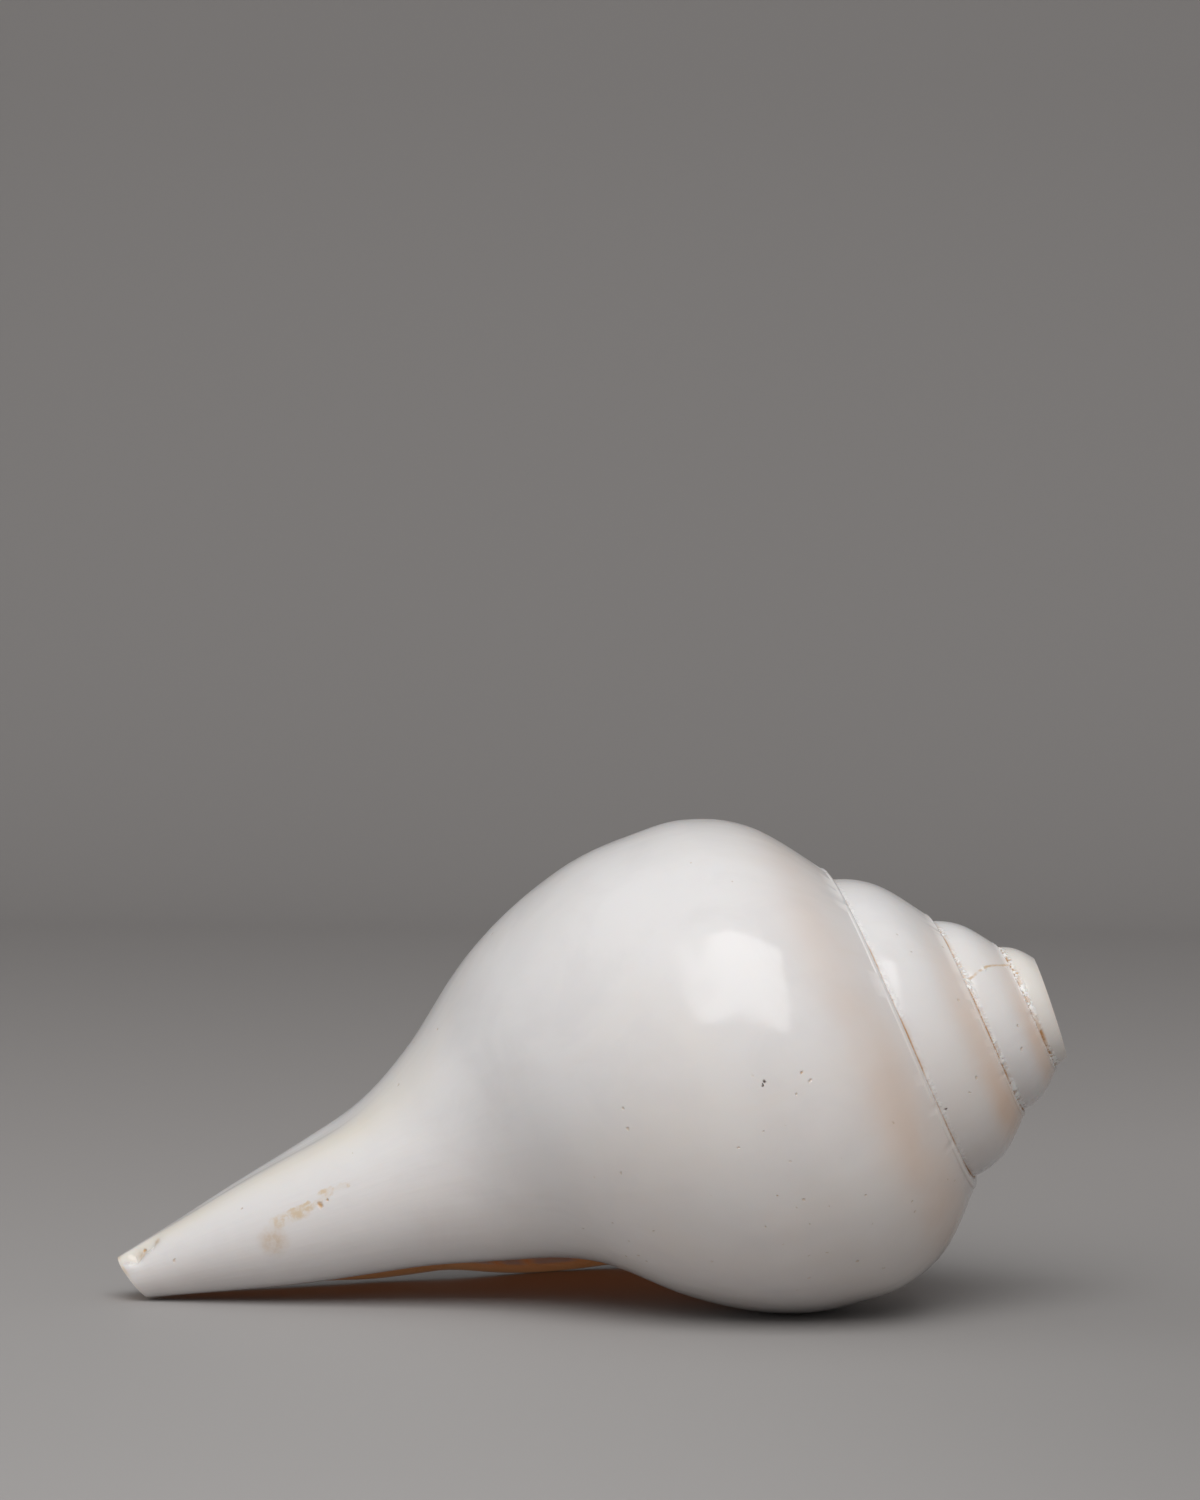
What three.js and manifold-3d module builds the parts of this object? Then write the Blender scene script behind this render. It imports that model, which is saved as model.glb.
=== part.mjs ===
// Conch shell made into a blowing horn: one grown piece, lying on its side with the aperture down.
//
// The shell is built in its own frame. Its z axis is the coiling axis, measured from the point
// where the spire would end toward the siphonal tip. Every wall is a radius around that axis:
//   turns   growth in whole turns, 0 at the outer lip and negative toward the apex
//   depth   distance along the axis from the virtual apex
//   radius  distance from the axis, at the angle LIP_ANGLE + 360 degrees * turns
// Each turn repeats the turn before it, larger by two constant factors, and the siphonal canal
// is a spindle around the axis that stays the same size. The outside, the spiral tube inside,
// the lip, the ground tip and the cut apex share their edge points, so they close one solid.
// The blow hole is then bored into it along the axis, until it opens into the spiral tube.
import * as THREE from "three";
import Module from "manifold-3d";
import { mergeVertices } from "three/addons/utils/BufferGeometryUtils.js";

// Growth
const GIRTH_GROWTH = 1.58; // radii multiply by this in one turn
const LENGTH_GROWTH = 1.526; // depths multiply by this in one turn
const SPIRE_TURNS = 3.2; // turns between the cut apex and the outer lip
const SUTURE_DEPTH = 48.7; // depth at which the upper edge of the wall reaches the lip
const LIP_ANGLE = THREE.MathUtils.degToRad(30.8);

// Outline of the last whorl where it reaches the lip: depth, radius
const WHORL_OUTLINE = [
  [46.5, 35.9],
  [61, 52.6],
  [73, 58],
  [85, 58.4],
  [97, 57.1],
  [109, 52.8],
  [124, 43],
  [140, 27.3],
  [154, 15.8],
  [180, 0],
];

// Outline of the columella and siphonal canal: depth, radius
const CANAL_OUTLINE = [
  [0, 0],
  [45, 4],
  [70, 10.7],
  [95, 18.2],
  [115, 17.3],
  [135, 13.9],
  [156, 10.3],
  [173.5, 6.3],
  [184, 3.9],
];

// Outline of the lip where it runs down the side of the canal: depth, radius
const CANAL_LIP_OUTLINE = [
  [115, 17.3],
  [129, 22],
  [136, 29],
  [142, 29.5],
  [153, 24],
  [163, 18.2],
  [173.5, 12],
  [184, 5.6],
];
const CANAL_BLEND = 5; // power of the smooth maximum that joins whorl and canal
const FLARE_TURNS = 0.35; // the lip rolls out beside the canal over this part of a turn

// Centre line: the spire leans a little to the aperture side, the canal bends to the back
const SPIRE_LEAN = 1.5;
const SPIRE_LEAN_END = 44;
const CANAL_BEND = 3.6;
const CANAL_BEND_START = 88;
const CANAL_BEND_END = 134;
const CANAL_TWIST = THREE.MathUtils.degToRad(2.5);
const CANAL_TWIST_START = 100;
const CANAL_TWIST_END = 125;

// Siphonal tip, ground to a flat facet
const TIP_DEPTH = 182.4;
const TIP_TILT = THREE.MathUtils.degToRad(19.4);

// Walls and hollow
const WALL_BASE = 0.8;
const WALL_GROWN = 2.4; // part of the wall thickness that grows with the girth
const TIP_WALL = 0.5; // the wall thins to this share of its thickness at the tip
const CORNER_DEPTH = 3.6; // the tube's upper corner lies this far below the suture at the lip
const TUBE_END_DEPTH = 128; // lower end of the tube's section, at the lip's scale
const CANAL_GAP_WIDE = 6; // height of the canal under the lip, at its upper end and at the tip
const CANAL_GAP_TIP = 1.7;
const CANAL_GAP_DEPTH = 115;
const SLOT_TURNS = 0.125; // the canal stays open at the tip over this part of a turn
const CANAL_CLOSE_TURNS = 0.5;
const LEAST_GAP = 0.4;
const LIP_ROUNDING = 1.1;
const TOP_ROUNDING = 0.14; // the tube's corners are rounded over these shares of its section
const BOTTOM_ROUNDING = 0.2;

// Ledge at a suture, in shares of its height: where its face leans to, how high, and where it ends
const LEDGE_LEAN = 0.1;
const LEDGE_RISE = 0.8;
const LEDGE_REACH = 0.6;

// Blow hole, bored from the cut apex along the axis
const BLOW_HOLE_RADIUS = 4.5;
const BLOW_HOLE_DEPTH = 42;
const BLOW_HOLE_SIDES = 28;
const BLOW_HOLE_OVERSHOOT = 4;
const TUBE_TURNS = 2.6; // turns of spiral tube, from the lip to its blind end

// How the shell lies
const AXIS_RISE = THREE.MathUtils.degToRad(18.727);
const AXIS_YAW = THREE.MathUtils.degToRad(-1.7);
const AXIS_ROLL = THREE.MathUtils.degToRad(-1.38);

// Facets
const OUTSIDE_STEPS = 40; // steps in one turn of the outside
const TUBE_STEPS = 24; // steps in one turn of the tube
const BAND_STEPS = 6; // steps across one whorl of the spire
const BODY_STEPS = 12; // steps from the spire to the tip
const LIP_STEPS = 3;
const TIP_PASSES = 12; // rounds in which a wall's depth at the tip facet settles

const CUT_DEPTH = sutureDepth(-SPIRE_TURNS);
const POINT_GRID = 1e4; // points closer than one part of this in a millimetre are one point
const SAME_POINT = 1e-3;
const ROUND_OFF = 1e-9; // turns this close to a limit count as on it

// Smooth curve through outline points, with slopes averaged from its neighbours.
function curveThrough(points, x) {
  const last = points.length - 1;
  if (x <= points[0][0]) {
    return (points[0][1] * x) / Math.max(points[0][0], 1);
  }
  if (x >= points[last][0]) {
    return points[last][1];
  }
  let i = 0;
  while (x > points[i + 1][0]) {
    i += 1;
  }
  const slope = (j) => (points[j + 1][1] - points[j][1]) / (points[j + 1][0] - points[j][0]);
  const tangent = (j) => {
    if (j === 0) {
      return slope(0);
    }
    if (j === last) {
      return slope(last - 1);
    }
    const before = points[j][0] - points[j - 1][0];
    const after = points[j + 1][0] - points[j][0];
    return (slope(j - 1) * after + slope(j) * before) / (before + after);
  };
  const width = points[i + 1][0] - points[i][0];
  const u = (x - points[i][0]) / width;
  const rise = points[i + 1][1] - points[i][1];
  const blend = u * u * (3 - 2 * u);
  const early = u * (1 - u) * (1 - u) * width * tangent(i);
  const late = u * u * (u - 1) * width * tangent(i + 1);
  return points[i][1] + rise * blend + early + late;
}

function sutureDepth(turns) {
  return SUTURE_DEPTH * LENGTH_GROWTH ** turns;
}

function wallThickness(turns, depth) {
  const grown = WALL_BASE + WALL_GROWN * GIRTH_GROWTH ** turns;
  const thinning = THREE.MathUtils.smoothstep(depth, CANAL_BEND_END, TIP_DEPTH);
  return grown * (1 - (1 - TIP_WALL) * thinning);
}

function canalGap(depth) {
  const along = THREE.MathUtils.clamp((depth - CANAL_GAP_DEPTH) / (TIP_DEPTH - CANAL_GAP_DEPTH), 0, 1);
  return THREE.MathUtils.lerp(CANAL_GAP_WIDE, CANAL_GAP_TIP, along);
}

// Radius of the outside of the wall.
function outerRadius(turns, depth) {
  const whorl = GIRTH_GROWTH ** turns * curveThrough(WHORL_OUTLINE, depth / LENGTH_GROWTH ** turns);
  const flare = THREE.MathUtils.smoothstep(turns, -FLARE_TURNS, 0);
  const spindle = curveThrough(CANAL_OUTLINE, depth);
  const canal = spindle + flare * Math.max(curveThrough(CANAL_LIP_OUTLINE, depth) - spindle, 0);
  return (whorl ** CANAL_BLEND + canal ** CANAL_BLEND) ** (1 / CANAL_BLEND);
}

// How far the centre line lies off the straight axis, toward the aperture side.
function centreLine(depth) {
  const lean = SPIRE_LEAN * (1 - THREE.MathUtils.smoothstep(depth, CUT_DEPTH, SPIRE_LEAN_END));
  const bend = CANAL_BEND * THREE.MathUtils.smoothstep(depth, CANAL_BEND_START, CANAL_BEND_END);
  return lean - bend;
}

// A point at a growth stage: the radius swung to its angle around the centre line, at its depth.
function place(turns, depth, radius) {
  const twist = CANAL_TWIST * THREE.MathUtils.smoothstep(depth, CANAL_TWIST_START, CANAL_TWIST_END);
  const angle = LIP_ANGLE + twist + 2 * Math.PI * turns;
  return new THREE.Vector3(radius * Math.cos(angle), radius * Math.sin(angle) + centreLine(depth), depth);
}

// Depth at which a wall of the given radius meets the ground facet at the tip.
function tipDepth(turns, radiusAt) {
  let depth = TIP_DEPTH;
  for (let pass = 0; pass < TIP_PASSES; pass += 1) {
    const side = place(turns, depth, radiusAt(depth)).y + CANAL_BEND;
    depth = TIP_DEPTH - Math.tan(TIP_TILT) * side;
  }
  return depth;
}

// One row of the outside from a suture to the next one, with the raised edge at the suture.
function bandRow(turns) {
  const start = sutureDepth(turns);
  const end = sutureDepth(turns + 1);
  const cut = turns < -SPIRE_TURNS - ROUND_OFF;
  const ledge = cut ? 0 : outerRadius(turns, start) - outerRadius(turns - 1, start);
  const first = cut ? CUT_DEPTH : start + LEDGE_REACH * ledge;
  const row = [];
  if (cut) {
    row.push(place(turns, CUT_DEPTH, outerRadius(turns, CUT_DEPTH)));
    row.push(row[0].clone());
  } else {
    row.push(place(turns, start, outerRadius(turns - 1, start)));
    const under = outerRadius(turns - 1, start);
    row.push(place(turns, start + LEDGE_LEAN * ledge, under + LEDGE_RISE * ledge));
  }
  for (let j = 2; j <= BAND_STEPS; j += 1) {
    const depth = THREE.MathUtils.lerp(first, end, (j - 2) / (BAND_STEPS - 2));
    row.push(place(turns, depth, outerRadius(turns, depth)));
  }
  return row;
}

// One row of the last whorl, from the line where a next whorl would start to the tip.
function bodyRow(turns) {
  const outside = (depth) => outerRadius(turns, depth);
  const start = sutureDepth(turns + 1);
  const corner = start + CORNER_DEPTH * LENGTH_GROWTH ** (turns + 1);
  const end = tipDepth(turns, outside);
  const row = [place(turns, start, outside(start))];
  for (let j = 0; j <= BODY_STEPS; j += 1) {
    const depth = THREE.MathUtils.lerp(corner, end, j / BODY_STEPS);
    row.push(place(turns, depth, outside(depth)));
  }
  return row;
}

// Quarter ellipse that rises from 0 to 1 over the given reach.
function roundedRise(x, reach) {
  const left = 1 - Math.min(x / reach, 1);
  return Math.sqrt(1 - left * left);
}

// The two sides of the spiral tube at one growth stage, both from the upper corner downward.
function tubeSection(turns) {
  const facing = (depth) => outerRadius(turns, depth) - wallThickness(turns, depth);
  const gap = (depth) => {
    const natural = facing(depth) - outerRadius(turns - 1, depth);
    const canal = canalGap(depth) * THREE.MathUtils.smoothstep(-turns, 0, SLOT_TURNS / 2);
    const below = THREE.MathUtils.smoothstep(depth, CANAL_BEND_START, CANAL_GAP_DEPTH);
    return Math.max(natural, canal * below, LEAST_GAP);
  };
  const inside = (depth) => facing(depth) - gap(depth);
  const open = turns > -SLOT_TURNS + ROUND_OFF;
  const start = sutureDepth(turns) + CORNER_DEPTH * LENGTH_GROWTH ** turns;
  const grown = TUBE_END_DEPTH * LENGTH_GROWTH ** turns;
  const reach = THREE.MathUtils.smoothstep(turns, -CANAL_CLOSE_TURNS, -SLOT_TURNS);
  const closed = THREE.MathUtils.lerp(grown, tipDepth(turns, facing), reach);
  const openness = open ? Math.sqrt(1 + turns / SLOT_TURNS) : 0;
  const outside = (depth, share) => {
    const bottom = THREE.MathUtils.lerp(roundedRise(1 - share, BOTTOM_ROUNDING), 1, openness);
    return inside(depth) + gap(depth) * roundedRise(share, TOP_ROUNDING) * bottom;
  };
  const innerEnd = open ? tipDepth(turns, inside) : closed;
  const outerEnd = open ? tipDepth(turns, (depth) => outside(depth, 1)) : closed;
  const inner = [];
  for (let j = 0; j <= BODY_STEPS; j += 1) {
    const depth = THREE.MathUtils.lerp(start, innerEnd, j / BODY_STEPS);
    inner.push({ depth, radius: inside(depth) });
  }
  const outer = [];
  const outerSteps = BAND_STEPS + BODY_STEPS;
  for (let j = 0; j <= outerSteps; j += 1) {
    const share = j / outerSteps;
    const depth = THREE.MathUtils.lerp(start, outerEnd, share);
    outer.push({ depth, radius: outside(depth, share) });
  }
  return { turns, open, inner, outer };
}

function sectionPoints(section, side) {
  return section[side].map((point) => place(section.turns, point.depth, point.radius));
}

// Gathers triangles over shared points and leaves out the ones that have no area.
class Skin {
  constructor() {
    this.points = [];
    this.triangles = [];
    this.known = new Map();
  }

  index(point) {
    const key = point.toArray().map((value) => Math.round(value * POINT_GRID)).join(" ");
    if (!this.known.has(key)) {
      this.known.set(key, this.points.length);
      this.points.push(point);
    }
    return this.known.get(key);
  }

  triangle(a, b, c) {
    const corners = [this.index(a), this.index(b), this.index(c)];
    if (new Set(corners).size === 3) {
      this.triangles.push(...corners);
    }
  }

  // Quads between rows of points, each split along its shorter diagonal.
  grid(rows, flip) {
    for (let i = 0; i + 1 < rows.length; i += 1) {
      for (let j = 0; j + 1 < rows[i].length; j += 1) {
        const quad = [rows[i][j], rows[i + 1][j], rows[i + 1][j + 1], rows[i][j + 1]];
        if (flip) {
          quad.reverse();
        }
        const [a, b, c, d] = quad;
        if (a.distanceTo(c) <= b.distanceTo(d)) {
          this.triangle(a, b, c);
          this.triangle(a, c, d);
        } else {
          this.triangle(a, b, d);
          this.triangle(b, c, d);
        }
      }
    }
  }

  // A flat face inside an outline, drawn on the plane of two directions.
  flat(outline, across, up, flip) {
    const drawn = outline.map((point) => new THREE.Vector2(point.dot(across), point.dot(up)));
    for (const face of THREE.ShapeUtils.triangulateShape(drawn, [])) {
      const [a, b, c] = flip ? face.slice().reverse() : face;
      this.triangle(outline[a], outline[b], outline[c]);
    }
  }

  geometry() {
    const geometry = new THREE.BufferGeometry().setFromPoints(this.points);
    geometry.setIndex(this.triangles);
    return geometry;
  }
}

function stages(from, to, stepsPerTurn) {
  const count = Math.round((to - from) * stepsPerTurn);
  return Array.from({ length: count + 1 }, (_, i) => from + ((to - from) * i) / count);
}

function withoutRepeats(points) {
  return points.filter((point, i) => point.distanceTo(points[(i + 1) % points.length]) > SAME_POINT);
}

// Rounded edge of the outer lip, from the outside of the wall to its inside.
function lipRows(outerEdge, innerEdge) {
  const forward = new THREE.Vector3(-Math.sin(LIP_ANGLE), Math.cos(LIP_ANGLE), 0);
  const rows = [];
  for (let step = 0; step <= LIP_STEPS; step += 1) {
    const share = step / LIP_STEPS;
    const row = outerEdge.map((point, j) => {
      const free = j > 1 && j < outerEdge.length - 1 ? 1 : 0;
      const bulge = free * LIP_ROUNDING * Math.sin(Math.PI * share);
      return point.clone().lerp(innerEdge[j], share).addScaledVector(forward, bulge);
    });
    rows.push(row);
  }
  return rows;
}

function shellGeometry() {
  const skin = new Skin();

  const bands = stages(-SPIRE_TURNS - 1, 0, OUTSIDE_STEPS).map(bandRow);
  const body = stages(-1, 0, OUTSIDE_STEPS).map(bodyRow);
  skin.grid(bands, false);
  skin.grid(body, false);

  const sections = stages(-TUBE_TURNS, 0, TUBE_STEPS).map(tubeSection);
  const innerWall = sections.map((section) => sectionPoints(section, "inner"));
  const outerWall = sections.map((section) => sectionPoints(section, "outer"));
  skin.grid(innerWall, false);
  skin.grid(outerWall, true);

  const blindEnd = innerWall[0].concat(outerWall[0].slice(1, -1).reverse());
  const angle = LIP_ANGLE - 2 * Math.PI * TUBE_TURNS;
  const outward = new THREE.Vector3(Math.cos(angle), Math.sin(angle), 0);
  skin.flat(blindEnd, outward, new THREE.Vector3(0, 0, 1), true);

  const outerEdge = bands.at(-1).concat(body.at(-1).slice(1));
  const innerEdge = [outerEdge[0], ...outerWall.at(-1)];
  const lip = lipRows(outerEdge, innerEdge);
  skin.grid(lip, false);

  const tipOutline = [
    ...body.map((row) => row.at(-1)),
    ...lip.map((row) => row.at(-1)),
    ...outerWall.filter((_, i) => sections[i].open).map((row) => row.at(-1)).reverse(),
    outerWall.find((_, i) => sections[i + 1].open).at(-1),
    ...innerWall.filter((_, i) => sections[i].open).map((row) => row.at(-1)),
  ];
  const tipUp = new THREE.Vector3(0, Math.cos(TIP_TILT), -Math.sin(TIP_TILT));
  skin.flat(withoutRepeats(tipOutline), new THREE.Vector3(1, 0, 0), tipUp, false);

  const rim = bands.slice(0, OUTSIDE_STEPS).map((row) => row[0]);
  skin.flat(rim, new THREE.Vector3(1, 0, 0), new THREE.Vector3(0, 1, 0), true);

  return skin.geometry();
}

// The bore as a round plug with a domed end, along the axis.
function boreGeometry() {
  const dome = BLOW_HOLE_DEPTH - BLOW_HOLE_RADIUS;
  const profile = [new THREE.Vector2(0, CUT_DEPTH - BLOW_HOLE_OVERSHOOT)];
  profile.push(new THREE.Vector2(BLOW_HOLE_RADIUS, CUT_DEPTH - BLOW_HOLE_OVERSHOOT));
  for (const share of [0, 0.25, 0.5, 0.75]) {
    const angle = (Math.PI / 2) * share;
    profile.push(new THREE.Vector2(Math.cos(angle), Math.sin(angle)).multiplyScalar(BLOW_HOLE_RADIUS));
    profile.at(-1).y += dome;
  }
  profile.push(new THREE.Vector2(0, BLOW_HOLE_DEPTH));
  const plug = new THREE.LatheGeometry(profile, BLOW_HOLE_SIDES);
  return plug.rotateX(Math.PI / 2).translate(0, SPIRE_LEAN, 0);
}

const wasm = await Module();
wasm.setup();

function toSolid(geometry) {
  geometry.deleteAttribute("normal");
  geometry.deleteAttribute("uv");
  const merged = mergeVertices(geometry);
  return new wasm.Manifold(
    new wasm.Mesh({
      numProp: 3,
      vertProperties: new Float32Array(merged.attributes.position.array),
      triVerts: new Uint32Array(merged.index.array),
    }),
  );
}

function toGeometry(solid) {
  const mesh = solid.getMesh();
  const geometry = new THREE.BufferGeometry();
  geometry.setAttribute("position", new THREE.BufferAttribute(mesh.vertProperties, 3));
  geometry.setIndex(new THREE.BufferAttribute(mesh.triVerts, 1));
  geometry.computeVertexNormals();
  return geometry;
}

const porcelain = new THREE.MeshStandardMaterial({ color: 0xdcd8d0, roughness: 0.3, metalness: 0 });
const bored = toSolid(shellGeometry()).subtract(toSolid(boreGeometry()));
const shell = new THREE.Mesh(toGeometry(bored), porcelain);
shell.name = "shell";

// Lay the coiling axis down: canal toward -X, apex toward +X and raised.
const down = new THREE.Vector3(
  -Math.cos(AXIS_RISE) * Math.cos(AXIS_YAW),
  -Math.cos(AXIS_RISE) * Math.sin(AXIS_YAW),
  -Math.sin(AXIS_RISE),
);
const far = new THREE.Vector3(-Math.sin(AXIS_YAW), Math.cos(AXIS_YAW), 0);
far.applyAxisAngle(down, AXIS_ROLL);
const under = new THREE.Vector3().crossVectors(down, far);
shell.quaternion.setFromRotationMatrix(new THREE.Matrix4().makeBasis(far, under, down));

// Stand it on the surface, with its middle over the origin.
shell.updateMatrixWorld();
const lying = new THREE.Box3().setFromObject(shell, true);
const middle = lying.getCenter(new THREE.Vector3());
shell.position.set(-middle.x, -middle.y, -lying.min.z);

const group = new THREE.Group();
group.add(shell);
export default group;
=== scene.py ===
"""Conch shell made into a blowing horn: its grown shape, markings and polish, on a studio floor."""

import functools
import math

import bmesh
import bpy
import numpy as np
from bpy.props import FloatProperty, FloatVectorProperty, PointerProperty
from bpy.types import Operator, Panel, PropertyGroup
from mathutils import Matrix, Vector


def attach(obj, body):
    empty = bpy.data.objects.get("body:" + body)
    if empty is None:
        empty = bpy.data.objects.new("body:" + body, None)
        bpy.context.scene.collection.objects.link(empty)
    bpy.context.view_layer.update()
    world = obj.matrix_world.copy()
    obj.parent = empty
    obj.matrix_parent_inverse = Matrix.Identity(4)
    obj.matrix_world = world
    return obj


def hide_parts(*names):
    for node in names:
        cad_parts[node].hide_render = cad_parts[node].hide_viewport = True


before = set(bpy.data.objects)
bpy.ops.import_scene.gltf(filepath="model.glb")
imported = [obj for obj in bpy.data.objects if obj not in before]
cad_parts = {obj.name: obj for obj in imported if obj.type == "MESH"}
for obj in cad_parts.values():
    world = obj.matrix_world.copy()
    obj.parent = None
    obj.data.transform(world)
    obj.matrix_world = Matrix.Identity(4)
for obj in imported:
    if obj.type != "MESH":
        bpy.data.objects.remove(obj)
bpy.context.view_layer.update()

bl_info = {
    "name": "Conch Shell Horn",
    "version": (1, 0, 0),
    "blender": (4, 5, 0),
    "location": "View3D > Sidebar > Conch",
    "description": "Grows a conch shell blowing horn and sets it on a studio floor",
    "category": "Add Mesh",
}

MM = 0.001

# Growth of the spiral: lengths in millimetres, angles in degrees, growth per whole turn
GIRTH_GROWTH = 1.58
LENGTH_GROWTH = 1.526
SPIRE_TURNS = 3.2
SUTURE_DEPTH = 48.7
LIP_ANGLE = 30.8

# Outlines as (depth, radius) from the virtual apex
WHORL_OUTLINE = (
    (46.5, 35.9), (61, 52.6), (73, 58), (85, 58.4), (97, 57.1),
    (109, 52.8), (124, 43), (140, 27.3), (154, 15.8), (180, 0),
)
CANAL_OUTLINE = (
    (0, 0), (45, 4), (70, 10.7), (95, 18.2), (115, 17.3),
    (135, 13.9), (156, 10.3), (173.5, 6.3), (184, 3.9),
)
CANAL_LIP_OUTLINE = (
    (115, 17.3), (129, 22), (136, 29), (142, 29.5),
    (153, 24), (163, 18.2), (173.5, 12), (184, 5.6),
)
CANAL_BLEND = 5
FLARE_TURNS = 0.35

# Centre line and siphonal tip
SPIRE_LEAN, SPIRE_LEAN_END = 1.5, 44
CANAL_BEND, CANAL_BEND_START, CANAL_BEND_END = 3.6, 88, 134
CANAL_TWIST, CANAL_TWIST_START, CANAL_TWIST_END = 2.5, 100, 125
TIP_DEPTH = 182.4
TIP_TILT = 19.4
TIP_PASSES = 14

# Walls and hollow
WALL_BASE, WALL_GROWN, TIP_WALL = 0.8, 2.4, 0.5
CORNER_DEPTH = 3.6
TUBE_END_DEPTH = 128
CANAL_GAP_WIDE, CANAL_GAP_TIP, CANAL_GAP_DEPTH = 6, 1.7, 115
SLOT_TURNS = 0.125
CANAL_CLOSE_TURNS = 0.5
LEAST_GAP = 0.4
TUBE_TURNS = 2.6
TOP_ROUNDING, BOTTOM_ROUNDING = 0.14, 0.2

# How it lies
AXIS_RISE, AXIS_YAW, AXIS_ROLL = 18.727, -1.7, -1.38

# Mesh fineness
OUTSIDE_STEPS = 290
TUBE_STEPS = 80
LEDGE_STEPS = 8
BAND_STEPS = 14
SHOULDER_STEPS = 3
BODY_STEPS = 66
LIP_STEPS = 8

# Stage, in metres and degrees
SHEET_FLAT, SHEET_BEND, SHEET_HEIGHT, SHEET_HALF = 1.15, 0.45, 2.6, 4.0
MOTTLE_SHARE = 0.985
# Painted shade on the floor: how far it darkens toward black on the right, and the run across, in metres,
# over which it grows in
PAINTED_FLOOR_SHADE, PAINTED_FLOOR_SHADE_RUN = 0.24, (-0.06, 0.16)
BACKDROP_RUN = (-0.12, 0.3)
SHELL_MIDDLE = (0.02, -0.02, 0.05)
KEY_DISTANCE, KEY_RISE = 1.2, 51
LAMP_COLOUR = (0.992, 0.985, 0.975)
ROOM_TILT = 0.6  # how much brighter the room is on the left, and darker on the right
CAMERA_PLACE = (0.0011, -0.7437, 0.1093)
CAMERA_PITCH = 0.83
CAMERA_ROLL = 0.49
CAMERA_SENSOR = 36.0
CAMERA_NEAR, CAMERA_FAR = 0.05, 20.0

# Step up from one whorl to the next: shares of its height, and how square its corner is
LEDGE_REACH = 0.6
LEDGE_SQUARE = 2.4

# Folds on the columella: depth where each meets the aperture
FOLD_DEPTHS = (85, 92.5, 100, 107)
FOLD_WIDTH = 1.7

# Distances, in millimetres, given to places with no suture near, and to places inside the tube
NO_SEAM = 9.0
FAR_FROM_SHOULDER = 60.0
SAME_TURN = 1e-9  # slack when turns are compared

# Chips at the upper edge of a whorl: place and reach as shares of its ledge, and the seed, count, lowest
# and highest wave number of each irregular line
CHIP_CENTRE, CHIP_REACH, LEAST_CHIP_REACH = 0.15, 0.5, 0.01
LONG_CHIPS, SMALL_CHIPS = (3, 7, 70, 190), (4, 9, 260, 620)

# Unevenness of the polished surface: share of the radius, depth that counts as one radian, and the count,
# lowest and highest wave number of its waves
WORN_SHARE, WORN_DEPTH = 0.0011, 55
WORN_WAVES = (4, 1.6, 3.4)

# Turns over which the columella folds fade out, and over which the hollow's colour and its painted glow grow
# in from the lip
FOLD_FADE_START, FOLD_FADE_END = -1.0, -0.955
INNER_FADE_TURNS, OUTER_FADE_TURNS = 0.11, 0.02

# Free edge of the lip: rows over which its bulge grows and dies away
LIP_BULGE_START_ROWS, LIP_BULGE_END_ROWS = 7, 4

# Peach beside the sutures: depth of its middle and its spread, on the last whorl and on the spire
PEACH_LAST, PEACH_SPIRE = (8.0, 6.5), (3.5, 5.0)
PEACH_LOW_TURN = 0.68

# Warm band along the top of the canal: its turn and spread, and where along the axis it grows in
IVORY_TURN, IVORY_SPREAD = -0.4, 0.06
IVORY_START, IVORY_FULL = 112, 140
IVORY_SPIRE_TURNS, IVORY_SPIRE_SHARE = (-2.95, -3.05), 0.55

GROWTH_LENGTH = 160  # depth that counts as one unit for the growth lines
MERGE_DISTANCE = 2e-6  # metres
SHARP_ANGLE = 40

# Plug that bores the blow hole: sides, rows of its domed end, and how far it starts above the cut
PLUG_SIDES, PLUG_END_ROWS, PLUG_START = 56, 7, 4


# ---------------------------------------------------------------- shape of the shell


def smoothstep(x, low, high):
    """0 below low, 1 above high, and 3u^2 - 2u^3 of the share u between them."""
    u = np.clip((x - low) / (high - low), 0, 1)
    return u * u * (3 - 2 * u)


def lerp(a, b, share):
    """Straight mix of a and b."""
    return a + (b - a) * share


def curve_through(points, x):
    """Cubic Hermite curve through outline points.

    The slope at each inner point is its neighbours' slopes, each weighted by the width of the other side.
    Before the first point the curve runs straight to zero, and past the last it stays level.
    """
    px, py = np.array(points, float).T
    width = np.diff(px)
    slope = np.diff(py) / width
    tangent = np.concatenate((slope[:1], np.zeros(len(px) - 2), slope[-1:]))
    tangent[1:-1] = (slope[:-1] * width[1:] + slope[1:] * width[:-1]) / (width[:-1] + width[1:])
    held = np.clip(x, px[0], px[-1])
    i = np.clip(np.searchsorted(px, held) - 1, 0, len(px) - 2)
    u = (held - px[i]) / width[i]
    early = u * (1 - u) ** 2 * width[i] * tangent[i]
    late = u * u * (u - 1) * width[i] * tangent[i + 1]
    curve = py[i] + (py[i + 1] - py[i]) * u * u * (3 - 2 * u) + early + late
    return np.where(x < px[0], py[0] * x / max(px[0], 1), curve)


def waves(seed, count, low, high):
    """Seeded wave numbers between low and high, with phases, for one irregular line."""
    rng = np.random.default_rng(seed)
    return rng.uniform(low, high, count), rng.uniform(0, 2 * math.pi, count)


def wander(x, seed, count, low, high):
    """Irregular line: the sum of count sine waves of seeded number and phase, over the root of count."""
    total = np.zeros_like(x)
    for number, phase in zip(*waves(seed, count, low, high)):
        total = total + np.sin(number * x + phase)
    return total / math.sqrt(count)


def suture_depth(turns):
    """Depth of a whorl's upper edge: its depth at the lip, times the length growth to the power of turns."""
    return SUTURE_DEPTH * LENGTH_GROWTH ** turns


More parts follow.
